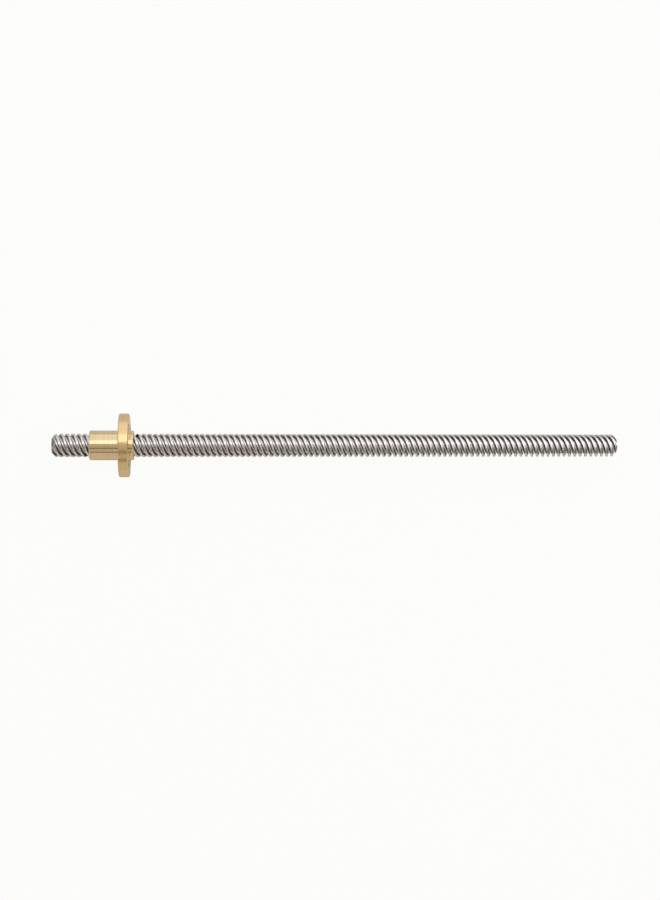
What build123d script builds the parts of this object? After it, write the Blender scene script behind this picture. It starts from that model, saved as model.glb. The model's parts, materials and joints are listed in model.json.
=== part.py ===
from build123d import *
import os
from math import atan2, cos, degrees, sin

# Trapezoidal lead screw, 8 mm across with four starts, and its flanged nut.
# It lies on a table as it comes to rest: on the rim of the nut's flange and on
# the screw's far end, so that the whole axis leans down a little towards +X.

# The screw: a rolled rod, with its ends turned down to the root of the thread
screw_length = 200.0
major_diameter = 8.0
minor_diameter = 5.5

# The nut: turned from one bar, a long barrel, a flange and a short boss
stub_length = 12.6  # free screw between its near end and the barrel
running_clearance = 0.1  # on the radius, between the nut's bore and the crests
barrel_wall = 1.0
barrel_length = 10.0
flange_thickness = 3.5
boss_length = 1.5
edge_break = 0.3

# The flange's screw holes: each head clears the barrel, and a rim is left outside
hole_count = 4
hole_diameter = 3.5
first_hole_angle = 45.0
head_diameter = 5.5
head_clearance = 0.15
rim_wall = 1.25

bore_diameter = major_diameter + 2 * running_clearance
barrel_diameter = bore_diameter + 2 * barrel_wall
hole_circle = barrel_diameter + head_diameter + 2 * head_clearance
flange_diameter = hole_circle + hole_diameter + 2 * rim_wall

# Places along the screw's axis, counted from its near end
flange_start = stub_length + barrel_length
flange_end = flange_start + flange_thickness
nut_end = flange_end + boss_length
thread_depth = (major_diameter - minor_diameter) / 2

# The table touches the flange's far edge and the start of the far end's chamfer
rim_contact = flange_end - edge_break
tip_contact = screw_length - thread_depth
rim_above_screw = (flange_diameter - major_diameter) / 2
lean = atan2(rim_above_screw, tip_contact - rim_contact)
near_end_height = rim_contact * sin(lean) + flange_diameter / 2 * cos(lean)

# One plane holds the axis and cuts every turned profile: x along it, y down to the
# table, so that each round surface has its seam where it touches the table
axial = Plane(
    origin=(-screw_length * cos(lean) / 2, 0, near_end_height),
    x_dir=(cos(lean), 0, -sin(lean)),
    z_dir=(0, 1, 0),
)
turning_axis = Axis(axial.origin, axial.x_dir)


def across(distance):
    """The plane square to the screw, this far from its near end."""
    return Plane(axial.origin + axial.x_dir * distance, x_dir=axial.y_dir, z_dir=axial.x_dir)


# Screw: both ends chamfered at 45 degrees, as deep as the thread
with BuildPart() as lead_screw:
    with BuildSketch(across(0)):
        Circle(major_diameter / 2)
    extrude(amount=screw_length)
    chamfer(lead_screw.edges().filter_by(GeomType.CIRCLE), length=thread_depth)

# Nut: barrel and boss are one diameter; it is turned and bored, then the flange is drilled
with BuildPart() as flange_nut:
    with BuildSketch(axial):
        with BuildLine():
            Polyline(
                (stub_length, 0),
                (stub_length, barrel_diameter / 2),
                (flange_start, barrel_diameter / 2),
                (flange_start, flange_diameter / 2),
                (flange_end, flange_diameter / 2),
                (flange_end, barrel_diameter / 2),
                (nut_end, barrel_diameter / 2),
                (nut_end, 0),
                close=True,
            )
        make_face()
    revolve(axis=turning_axis)
    with BuildSketch(across(stub_length)):
        Circle(bore_diameter / 2)
    extrude(amount=nut_end - stub_length, mode=Mode.SUBTRACT)
    rims = flange_nut.edges().filter_by(GeomType.CIRCLE)
    along_nut = rims.group_by(turning_axis)
    flange_rims = rims.group_by(SortBy.RADIUS)[-1]
    chamfer(along_nut[0] + along_nut[-1] + flange_rims, length=edge_break)
    with BuildSketch(across(flange_start)):
        with PolarLocations(hole_circle / 2, hole_count, start_angle=first_hole_angle):
            Circle(hole_diameter / 2)
    extrude(amount=flange_thickness, mode=Mode.SUBTRACT)

os.makedirs("parts", exist_ok=True)
lead_screw.part.label = "lead_screw"
export_step(lead_screw.part, "parts/lead_screw.step")
flange_nut.part.label = "flange_nut"
export_step(flange_nut.part, "parts/flange_nut.step")
print(f"leans {degrees(lean):.4f} degrees, near end {near_end_height:.4f} mm up")
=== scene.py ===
import json
from math import ceil, cos, pi, radians, sin, tan

import bmesh
import bpy
from mathutils import Matrix, Vector


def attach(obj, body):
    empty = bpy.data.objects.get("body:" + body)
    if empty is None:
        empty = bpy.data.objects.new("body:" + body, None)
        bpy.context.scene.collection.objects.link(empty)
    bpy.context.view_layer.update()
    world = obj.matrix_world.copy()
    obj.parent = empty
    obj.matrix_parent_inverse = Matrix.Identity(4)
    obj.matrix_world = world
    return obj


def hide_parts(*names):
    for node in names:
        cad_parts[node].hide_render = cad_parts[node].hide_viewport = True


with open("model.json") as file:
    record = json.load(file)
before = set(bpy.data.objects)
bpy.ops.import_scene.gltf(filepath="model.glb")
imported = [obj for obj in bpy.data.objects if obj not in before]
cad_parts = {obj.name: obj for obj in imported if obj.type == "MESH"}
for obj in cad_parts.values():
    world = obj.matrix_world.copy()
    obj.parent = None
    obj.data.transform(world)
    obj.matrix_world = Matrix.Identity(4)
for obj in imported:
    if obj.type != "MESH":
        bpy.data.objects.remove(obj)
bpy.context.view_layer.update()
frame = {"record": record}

# The lead screw: one 200 mm rod of stainless steel. A four-start trapezoidal thread
# is rolled into it cold, which leaves fine streaks along the crests and roots, and the
# flanks are painted dark as painted shade. Then each end is turned to a 45 degree cone.
MM = 0.001
mounts = {mount["name"]: mount for mount in frame["record"]["mounts"]}
near_end = Vector(mounts["near_end"]["pos_m"])
far_end = Vector(mounts["far_end"]["pos_m"])
along = (far_end - near_end).normalized()
across = Vector((0, -1, 0))
upward = across.cross(along)

screw_length = (far_end - near_end).length / MM
starts = 4
pitch = 2.0
lead = starts * pitch
major_radius = 4.0
root_radius = 2.75
chamfer_depth = major_radius - root_radius
first_crest = 1.0  # where the first crest crosses the top of the rod, from its near end
turn_per_mm = 2 * pi / lead
thread_step = 0.17  # between the rings of the mesh
chamfer_step = 0.08
sharp_thread = 38  # degrees

# Half of one tooth, from the middle of its crest to the middle of the groove:
# distance along the rod and height of the surface. Rolling leaves a shallow seam
# in the crest, and the corners are rounded.
tooth_half = [
    (0.0, 3.972),
    (0.12, 3.99),
    (0.25, 4.0),
    (0.335, 3.985),
    (0.385, 3.93),
    (0.525, 3.42),
    (0.665, 2.88),
    (0.73, 2.79),
    (0.84, 2.755),
    (1.0, 2.75),
]


def whole_tooth(half):
    """A full tooth and its groove, from one half and the mirror image of it."""
    return half + [(pitch - place, height) for place, height in half[-2:0:-1]]


def on_rod(distance, angle, radius):
    """A point by its distance from the near end, angle from the top and radius, in mm."""
    spoke = upward * cos(angle) + across * sin(angle)
    return near_end + (along * distance + spoke * radius) * MM


def rings_between(first, last, step):
    """Evenly spaced distances from first to last, no further apart than step."""
    count = ceil((last - first) / step)
    return [first + (last - first) * k / count for k in range(count)]


def join_rings(bm, rings):
    """Joins each ring of vertices to the next one with four-sided faces."""
    for ring, following in zip(rings, rings[1:]):
        for k in range(len(ring)):
            after = (k + 1) % len(ring)
            bm.faces.new((ring[k], ring[after], following[after], following[k]))


def close_ring(bm, ring, middle):
    """Closes a ring of vertices with triangles that meet in the middle."""
    for k in range(len(ring)):
        bm.faces.new((ring[k], ring[(k + 1) % len(ring)], middle))


def threaded(distances, tooth, radius_at):
    """A closed threaded solid. Its rings follow the helix, so the mesh has a line along each edge."""
    bm = bmesh.new()
    rings = []
    for distance in distances:
        turned_by = (distance - first_crest) * turn_per_mm
        ring = []
        for start in range(starts):
            for place, height in tooth:
                angle = turned_by + (start * pitch + place) * turn_per_mm
                ring.append(bm.verts.new(on_rod(distance, angle, radius_at(distance, height))))
        rings.append(ring)
    join_rings(bm, rings)
    close_ring(bm, rings[0], bm.verts.new(on_rod(distances[0], 0, 0)))
    close_ring(bm, rings[-1], bm.verts.new(on_rod(distances[-1], 0, 0)))
    return bm


def shade_round(mesh, sharpest):
    """Shades a mesh smooth, except at the edges that turn by more than this many degrees."""
    mesh.shade_smooth()
    mesh.set_sharp_from_angle(angle=radians(sharpest))


def made_object(name, bm, material):
    """The finished mesh as an object of that name."""
    bmesh.ops.recalc_face_normals(bm, faces=bm.faces)
    mesh = bpy.data.meshes.new(name)
    bm.to_mesh(mesh)
    bm.free()
    shade_round(mesh, sharp_thread)
    mesh.materials.append(material)
    made = bpy.data.objects.new(name, mesh)
    bpy.context.scene.collection.objects.link(made)
    return made


class Shade:
    """A socket of a material. Sums on it add Math nodes, and node() adds any other node."""

    def __init__(self, tree, socket=None):
        self.tree = tree
        self.socket = socket

    def node(self, kind, settings, inputs, output=0):
        made = self.tree.nodes.new("ShaderNode" + kind)
        for name, value in settings.items():
            setattr(made, name, value)
        for name, value in inputs.items():
            if isinstance(value, Shade):
                self.tree.links.new(value.socket, made.inputs[name])
            else:
                made.inputs[name].default_value = value
        return Shade(self.tree, made.outputs[output])

    def math(self, operation, first, second):
        return self.node("Math", {"operation": operation}, {0: first, 1: second})

    def __add__(self, other):
        return self.math("ADD", self, other)

    def __radd__(self, other):
        return self.math("ADD", other, self)

    def __sub__(self, other):
        return self.math("SUBTRACT", self, other)

    def __rsub__(self, other):
        return self.math("SUBTRACT", other, self)

    def __mul__(self, other):
        return self.math("MULTIPLY", self, other)

    def __rmul__(self, other):
        return self.math("MULTIPLY", other, self)

    def vector(self, operation, other, output=0):
        return self.node("VectorMath", {"operation": operation}, {0: self, 1: other}, output)

    def scaled(self, factor):
        return self.node("VectorMath", {"operation": "SCALE"}, {0: self, "Scale": factor})

    def stepped(self, low, high):
        """0 below low and 1 above high, with a smooth rise between. High may be the smaller."""
        if low > high:
            return 1 - self.stepped(high, low)
        inputs = {"Value": self, "From Min": low, "From Max": high}
        return self.node("MapRange", {"interpolation_type": "SMOOTHSTEP"}, inputs)

    def noise(self, scale, detail=2.0, roughness=0.5):
        """Noise at this place, from 0 to 1."""
        inputs = {"Vector": self, "Scale": scale, "Detail": detail, "Roughness": roughness}
        return self.node("TexNoise", {}, inputs)

    def colour(self, low, high):
        """The colour low where this is 0, and high where it is 1."""
        inputs = {0: self, 6: low, 7: high}
        return self.node("Mix", {"data_type": "RGBA"}, inputs, 2)

    def bump(self, depth, strength):
        """A surface normal for relief this deep, in metres."""
        return self.node("Bump", {}, {"Height": self, "Distance": depth, "Strength": strength})


def new_finish(name, constants):
    """A new material, its first Shade, and its surface shader with the constants set on it."""
    material = bpy.data.materials.new(name)
    material.use_nodes = True
    surface = material.node_tree.nodes["Principled BSDF"]
    for socket, value in constants.items():
        surface.inputs[socket].default_value = value
    return material, Shade(material.node_tree), surface


def lay_on(surface, varying):
    """Links what changes over the surface to its shader."""
    for socket, value in varying.items():
        value.tree.links.new(value.socket, surface.inputs[socket])


def place_on_rod(shade):
    """The place in mm from the near end, its distance along the rod, and its radius."""
    local = shade.node("TexCoord", {}, {}, "Object")
    place = local.vector("SUBTRACT", near_end).scaled(1 / MM)
    distance = place.vector("DOT_PRODUCT", along, "Value")
    radius = place.vector("CROSS_PRODUCT", along).vector("LENGTH", (0, 0, 0), "Value")
    return place, distance, radius


# Steel: the place is unwound along the thread and then squeezed along the rod, so that
# the streaks of the rolling run with the thread
squeeze = 0.94
crest_corner = 3.9
flank_middle = 3.4
flank_foot = 2.95
root_corner = 2.78
flank_shade_share = 0.75
rolling_depth = 0.006 * MM

rolled_steel, shade, surface = new_finish("rolled_steel", {"Metallic": 1.0})
place, distance, radius = place_on_rod(shade)
unwinding = {"Vector": place, "Center": (0, 0, 0), "Axis": along, "Angle": distance * -turn_per_mm}
unwound = shade.node("VectorRotate", {"rotation_type": "AXIS_ANGLE"}, unwinding)
squeezing = {0: along, "Scale": distance * -squeeze}
streak_place = unwound.vector("ADD", shade.node("VectorMath", {"operation": "SCALE"}, squeezing))

fine_streaks = streak_place.noise(scale=9.0, detail=3.0, roughness=0.6)
broad_streaks = streak_place.noise(scale=2.2)
patches = place.noise(scale=0.35)
root = radius.stepped(flank_foot, root_corner)
flank = radius.stepped(crest_corner, flank_middle) * (1 - root)
scuffed = fine_streaks.stepped(0.35, 0.75)

steel_bright = (0.86, 0.825, 0.81, 1)
steel_worn = (0.7, 0.665, 0.65, 1)
# The flanks' near-black colour is painted shade: it stands in for the shade and dark reflections in
# the grooves.
painted_flank_shade = (0.07, 0.058, 0.05, 1)
rolled_colour = (0.6 * scuffed + 0.4 * broad_streaks).colour(steel_bright, steel_worn)
steel_colour = (flank * flank_shade_share).colour(rolled_colour, painted_flank_shade)
steel_roughness = 0.13 + 0.12 * scuffed + 0.08 * root + 0.05 * patches
steel_normal = (fine_streaks + 0.8 * broad_streaks).bump(rolling_depth, strength=0.4)
lay_on(surface, {"Base Color": steel_colour, "Roughness": steel_roughness, "Normal": steel_normal})


def screw_radius(distance, height):
    """The thread's height, cut off by the cone at each end."""
    from_end = min(distance, screw_length - distance)
    return min(height, root_radius + from_end)


screw_rings = (
    rings_between(0, chamfer_depth, chamfer_step)
    + rings_between(chamfer_depth, screw_length - chamfer_depth, thread_step)
    + rings_between(screw_length - chamfer_depth, screw_length, chamfer_step)
    + [screw_length]
)
screw_thread = threaded(screw_rings, whole_tooth(tooth_half), screw_radius)
lead_screw = made_object("threaded_rod", screw_thread, rolled_steel)
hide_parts("lead_screw")
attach(lead_screw, "screw")

# The nut: turned from one brass bar, with a flange that is drilled for four screws,
# and tapped with the screw's own thread. It was left as it came off the lathe,
# bright, with fine lines round it and its edges just broken.
flange_centre = Vector(mounts["nut_bolts"]["pos_m"])
hole_circle_radius = mounts["nut_bolts"]["dims"]["pcd_mm"] / 2
hole_radius = mounts["nut_bolts"]["dims"]["hole_r_mm"]
barrel_radius = mounts["nut_barrel"]["dims"]["r_mm"]
barrel_length = 10.0
flange_thickness = 3.5
boss_length = 1.5
flange_radius = 11.0
edge_break = 0.3
nut_facets = 192
sharp_nut = 32  # degrees

flange_start = (flange_centre - near_end).length / MM
flange_end = flange_start + flange_thickness
barrel_start = flange_start - barrel_length
nut_end = flange_end + boss_length

nut_outline = [
    (barrel_start, 0.0),
    (barrel_start, barrel_radius - edge_break),
    (barrel_start + edge_break, barrel_radius),
    (flange_start, barrel_radius),
    (flange_start, flange_radius - edge_break),
    (flange_start + edge_break, flange_radius),
    (flange_end - edge_break, flange_radius),
    (flange_end, flange_radius - edge_break),
    (flange_end, barrel_radius),
    (nut_end - edge_break, barrel_radius),
    (nut_end, barrel_radius - edge_break),
    (nut_end, 0.0),
]


def turned(outline, centre, facets):
    """A closed turned solid about this centre. The outline runs from the axis out and back to it."""
    bm = bmesh.new()
    offset = centre - near_end - along * along.dot(centre - near_end)
    first, last = (bm.verts.new(on_rod(outline[k][0], 0, 0) + offset) for k in (0, -1))
    angles = [2 * pi * k / facets for k in range(facets)]
    rings = []
    for distance, radius in outline[1:-1]:
        rings.append([bm.verts.new(on_rod(distance, angle, radius) + offset) for angle in angles])
    join_rings(bm, rings)
    close_ring(bm, rings[0], first)
    close_ring(bm, rings[-1], last)
    return bm


sliver = 0.0005 * MM


def cut_away(target, cutter):
    """Cuts one object out of another, then removes the cutter and any sliver of a face."""
    cut = target.modifiers.new("cut", "BOOLEAN")
    cut.operation = "DIFFERENCE"
    cut.solver = "EXACT"
    cut.object = cutter
    graph = bpy.context.evaluated_depsgraph_get()
    cut_mesh = bpy.data.meshes.new_from_object(target.evaluated_get(graph))
    target.modifiers.clear()
    bm = bmesh.new()
    bm.from_mesh(cut_mesh)
    bmesh.ops.dissolve_degenerate(bm, edges=bm.edges, dist=sliver)
    bm.to_mesh(cut_mesh)
    bm.free()
    target.data = cut_mesh
    bpy.data.objects.remove(cutter)


# Brass: lathe lines lie round the nut, so they change along it and outwards, and only a
# little round it. The flange's rim has the coarsest ones, and it is painted a deeper gold
# as a painted warm reflection. The tapped bore is painted dark, as painted shade.
change_around = 0.02
lathe_depth = 0.006 * MM
bore_shade_share = 0.8
rim_reflection_share = 0.5

turned_brass, shade, surface = new_finish("turned_brass", {"Metallic": 1.0})
place, distance, radius = place_on_rod(shade)
outwards = shade.node("CombineXYZ", {}, {"X": distance, "Y": radius})
lathe_place = place.scaled(change_around).vector("ADD", outwards)
lathe_lines = lathe_place.noise(scale=7.0, detail=3.0, roughness=0.65)
broad_lines = lathe_place.noise(scale=2.4, detail=3.0)
handling = place.noise(scale=0.5, detail=3.0)
smudges = place.noise(scale=1.6, detail=3.0, roughness=0.6)
dulled = (0.6 * handling + 0.4 * smudges).stepped(0.45, 0.7)
inside = radius.stepped(4.6, 4.0)
rim = radius.stepped(10.5, 10.8)

brass_bright = (0.93, 0.735, 0.45, 1)
brass_dull = (0.84, 0.59, 0.28, 1)
painted_rim_reflection = (0.93, 0.64, 0.3, 1)
painted_bore_shade = (0.3, 0.19, 0.08, 1)
brass_skin = (0.4 * dulled + 0.5 * broad_lines.stepped(0.35, 0.65)).colour(brass_bright, brass_dull)
# The rim's deeper gold is a painted reflection of warm light. The brass there is the same.
with_rim_reflection = (rim * rim_reflection_share).colour(brass_skin, painted_rim_reflection)
# The bore's dark brown is painted shade inside the nut.
brass_colour = (inside * bore_shade_share).colour(with_rim_reflection, painted_bore_shade)
brass_roughness = 0.1 + 0.08 * dulled + 0.06 * lathe_lines + 0.2 * inside + 0.09 * rim
brass_normal = (lathe_lines + 0.5 * broad_lines).bump(lathe_depth, strength=0.5)
lay_on(surface, {"Base Color": brass_colour, "Roughness": brass_roughness, "Normal": brass_normal})

nut = made_object("brass_nut", turned(nut_outline, flange_centre, nut_facets), turned_brass)

# Each hole is drilled through the flange and deburred a little at both faces. The drill
# starts and ends clear of the brass.
hole_count = 4
first_hole = pi / 4
hole_facets = 64
deburr = 0.15
over = 0.4
hole_outline = [
    (flange_start - over, 0.0),
    (flange_start - over, hole_radius + deburr + over),
    (flange_start + deburr, hole_radius),
    (flange_end - deburr, hole_radius),
    (flange_end + over, hole_radius + deburr + over),
    (flange_end + over, 0.0),
]
for k in range(hole_count):
    angle = first_hole + k * 2 * pi / hole_count
    hole_centre = on_rod(flange_start, angle, hole_circle_radius)
    drill = made_object("drill", turned(hole_outline, hole_centre, hole_facets), turned_brass)
    cut_away(nut, drill)

# The tapped thread: the screw's, with running room on every side, and a cone at each mouth
mouth_radius = 4.45
tap_over = 0.25
tap_step = 0.12
tap_half = [
    (0.0, 4.25),
    (0.25, 4.25),
    (0.345, 4.22),
    (0.555, 3.45),
    (0.655, 3.08),
    (0.7, 3.05),
    (1.0, 3.05),
]


def tap_radius(distance, height):
    """The tap's height, or the cone at the nearer mouth of the nut where that is wider."""
    into_nut = min(distance - barrel_start, nut_end - distance)
    return max(height, mouth_radius - into_nut)


tap_end = nut_end + tap_over
tap_rings = rings_between(barrel_start - tap_over, tap_end, tap_step) + [tap_end]
tap = made_object("tap", threaded(tap_rings, whole_tooth(tap_half), tap_radius), turned_brass)
cut_away(nut, tap)
shade_round(nut.data, sharp_nut)
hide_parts("flange_nut")
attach(nut, "nut")

# The table: a plain white sheet of matt paper that the screw lies on. The camera sees
# it nearly even white, with a little of the soft shadow, and the metal mirrors it duller.
table_half = 1.6
matt_paper = {"Base Color": (0.78, 0.77, 0.75, 1), "Roughness": 0.9, "Specular IOR Level": 0.1}
background_white = (1, 1, 0.985, 1)


def white_share(shade, to_camera, to_metal):
    """How white each ray sees the background: the camera's, which glass passes on, and the metal's."""
    camera_ray = shade.node("LightPath", {}, {}, "Is Camera Ray")
    glass_ray = shade.node("LightPath", {}, {}, "Is Transmission Ray")
    metal_ray = shade.node("LightPath", {}, {}, "Is Glossy Ray")
    return to_camera * (camera_ray + glass_ray) + to_metal * metal_ray


white_sheet, shade, surface = new_finish("white_sheet", matt_paper)
paper = Shade(shade.tree, surface.outputs["BSDF"])
glow = shade.node("Emission", {}, {"Color": background_white, "Strength": 1.0})
share = white_share(shade, to_camera=0.95, to_metal=0.1)
seen = shade.node("MixShader", {}, {0: share, 1: paper, 2: glow})
shade.tree.links.new(seen.socket, shade.tree.nodes["Material Output"].inputs["Surface"])

bm = bmesh.new()
corners = ((-1, -1), (1, -1), (1, 1), (-1, 1))
bm.faces.new([bm.verts.new((x * table_half, y * table_half, 0)) for x, y in corners])
table = made_object("table", bm, white_sheet)

# The light: long softboxes over the screw, all a metre away. The bright one is high on
# its far side, over a paler wall, and the near side has weaker, warmer ones with dark
# gaps between. Two more hang past the screw's far end, and the room is grey.
aim = Vector((0, 0, 0.008))
panel_distance = 1.0


def softbox(name, angle, spread, first, last, strength, colour):
    """A lit panel from first to last along X, leant from overhead to +Y and as wide as its spread."""
    lamp = bpy.data.lights.new(name, "AREA")
    lamp.shape = "RECTANGLE"
    lamp.size = last - first
    lamp.size_y = 2 * panel_distance * tan(radians(spread) / 2)
    lamp.energy = strength * pi * lamp.size * lamp.size_y
    lamp.color = colour
    panel = bpy.data.objects.new(name, lamp)
    out = Vector((0, sin(radians(angle)), cos(radians(angle))))
    panel.location = aim + out * panel_distance + Vector(((first + last) / 2, 0, 0))
    panel.rotation_euler = out.to_track_quat("Z", "Y").to_euler()
    bpy.context.scene.collection.objects.link(panel)


cool_light = (0.985, 1, 1.04)
warm_light = (1.04, 0.97, 0.86)
softbox("key_panel", angle=25, spread=29, first=-1.1, last=1.1, strength=1.2, colour=cool_light)
softbox("far_wall", angle=70, spread=60, first=-1.1, last=1.4, strength=0.7, colour=cool_light)
softbox("top_panel", angle=-5, spread=27, first=-1.1, last=1.1, strength=0.26, colour=warm_light)
softbox("near_panel", angle=-40, spread=20, first=-1.1, last=1.1, strength=0.3, colour=warm_light)
softbox("near_wall", angle=-75, spread=30, first=-1.1, last=0.12, strength=0.36, colour=warm_light)
softbox("end_wall", angle=45, spread=70, first=0.15, last=1.8, strength=0.42, colour=cool_light)
softbox("end_top", angle=-8, spread=34, first=0.2, last=1.8, strength=0.7, colour=cool_light)

room_colour = (1, 0.92, 0.83, 1)
room_level = 0.18
room = bpy.data.worlds.new("room")
room.use_nodes = True
shade = Shade(room.node_tree)
grey_room = shade.node("Background", {}, {"Color": room_colour, "Strength": room_level})
white_wall = shade.node("Background", {}, {"Color": background_white, "Strength": 1.0})
share = white_share(shade, to_camera=1.0, to_metal=0.05)
surroundings = shade.node("MixShader", {}, {0: share, 1: grey_room, 2: white_wall})
shade.tree.links.new(surroundings.socket, shade.tree.nodes["World Output"].inputs["Surface"])
bpy.context.scene.world = room

# The camera looks straight down on the screw from over its near third. Its lens is
# tilted a little, and the frame is 660 pixels wide and 900 high.
image_height = 900
focal_pixels = 1138.8
film_height = 36
lens_tilt = radians(4.761)
camera_place = Vector((-37.57, -1.6, 408)) * MM
lens = bpy.data.cameras.new("camera")
lens.sensor_width = film_height
lens.lens = focal_pixels / image_height * film_height
camera = bpy.data.objects.new("camera", lens)
camera.location = camera_place
right = Vector((cos(lens_tilt), 0, sin(lens_tilt)))
back = Vector((-sin(lens_tilt), 0, cos(lens_tilt)))
camera.rotation_euler = Matrix((right, back.cross(right), back)).transposed().to_euler()
bpy.context.scene.collection.objects.link(camera)
bpy.context.scene.camera = camera
bpy.context.scene.view_settings.view_transform = "Standard"
